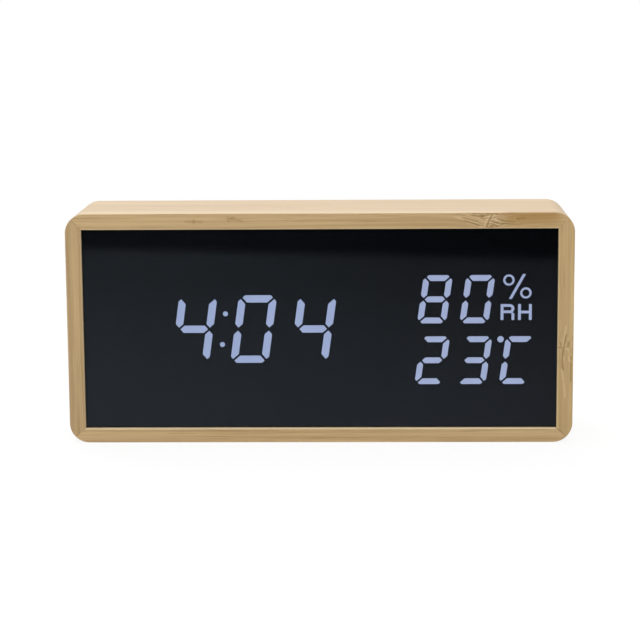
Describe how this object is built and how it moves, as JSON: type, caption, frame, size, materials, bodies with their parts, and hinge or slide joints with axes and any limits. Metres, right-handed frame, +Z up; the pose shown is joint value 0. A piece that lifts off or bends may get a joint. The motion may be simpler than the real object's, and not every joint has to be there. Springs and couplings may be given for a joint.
{
  "type": "digital led desk clock",
  "caption": "Digital desk clock in a mitred bamboo case: a smoked front lens over a segment display for time, humidity and temperature, with keys and a battery bay behind.",
  "frame": {"origin": "under the middle of the case, on the surface that it stands on", "axes": "+Z up, +X to the right as seen from the front, and the display faces -Y"},
  "size_m": [0.15, 0.038, 0.0687],
  "materials": {
    "bamboo": "satin clear-coated bamboo",
    "block_wood": "sawn",
    "smoked_acrylic": "polished smoked acrylic",
    "mask_black": "printed matt film",
    "reflector_white": "moulded",
    "lit_bar": "milky, lit from behind",
    "milky_bar": "milky, unlit",
    "led_yellow": "phosphor over a small chip",
    "board_green": "solder mask",
    "chip_black": "moulded",
    "plated_steel": "nickel plated",
    "capacitor_sleeve": "shrunk sleeve",
    "plug_white": "moulded nylon",
    "ribbon_grey": "soft vinyl",
    "lead_red": "soft vinyl",
    "lead_black": "soft vinyl",
    "cell_jacket": "plain printed jacket",
    "cover_black": "spark-eroded ABS",
    "button_black": "satin ABS",
    "plunger_black": "moulded nylon"
  },
  "bodies": {
    "case": {"aaa_cell_1": "cell_jacket", "aaa_cell_2": "cell_jacket", "aaa_cell_3": "cell_jacket", "black_lead": "lead_black", "bottom_board": "bamboo", "buzzer": "chip_black", "capacitor": "capacitor_sleeve", "chip_legs": "plated_steel", "climate_segments": "lit_bar", "contact_springs": "plated_steel", "control_board": "board_green", "control_plug": "plug_white", "control_screws": "plated_steel", "controller_chip": "chip_black", "corner_blocks": "block_wood", "cover_screws": "plated_steel", "crystal": "plated_steel", "dark_segments": "milky_bar", "display_board": "board_green", "display_mask": "mask_black", "display_plug": "plug_white", "display_reflector": "reflector_white", "front_lens": "smoked_acrylic", "humidity_sensor": "chip_black", "led_chips": "led_yellow", "left_board": "bamboo", "left_bridge": "plated_steel", "negative_contact": "plated_steel", "positive_contact": "plated_steel", "rear_cover": "cover_black", "red_lead": "lead_red", "ribbon_cable": "ribbon_grey", "right_board": "bamboo", "right_bridge": "plated_steel", "socket_shell": "plated_steel", "socket_tongue": "chip_black", "switch_bodies": "chip_black", "thermistor": "chip_black", "time_segments": "lit_bar", "top_board": "bamboo"},
    "battery_door": {"battery_door": "cover_black"},
    "set_key": {"set_button": "button_black", "set_plunger": "plunger_black"},
    "up_key": {"up_button": "button_black", "up_plunger": "plunger_black"},
    "down_key": {"down_button": "button_black", "down_plunger": "plunger_black"}
  },
  "joints": [
    {"name": "battery_door_hinge", "type": "hinge", "parent": "case", "child": "battery_door", "pos_m": [0, 0.018, 0.0163], "axis": [-1, 0, 0], "range_deg": [0, 70]},
    {"name": "set_key_press", "type": "slide", "parent": "case", "child": "set_key", "axis": [0, -1, 0], "range_m": [0, 0.0005], "stiffness_N_per_m": 2000},
    {"name": "up_key_press", "type": "slide", "parent": "case", "child": "up_key", "axis": [0, -1, 0], "range_m": [0, 0.0005], "stiffness_N_per_m": 2000},
    {"name": "down_key_press", "type": "slide", "parent": "case", "child": "down_key", "axis": [0, -1, 0], "range_m": [0, 0.0005], "stiffness_N_per_m": 2000}
  ]
}
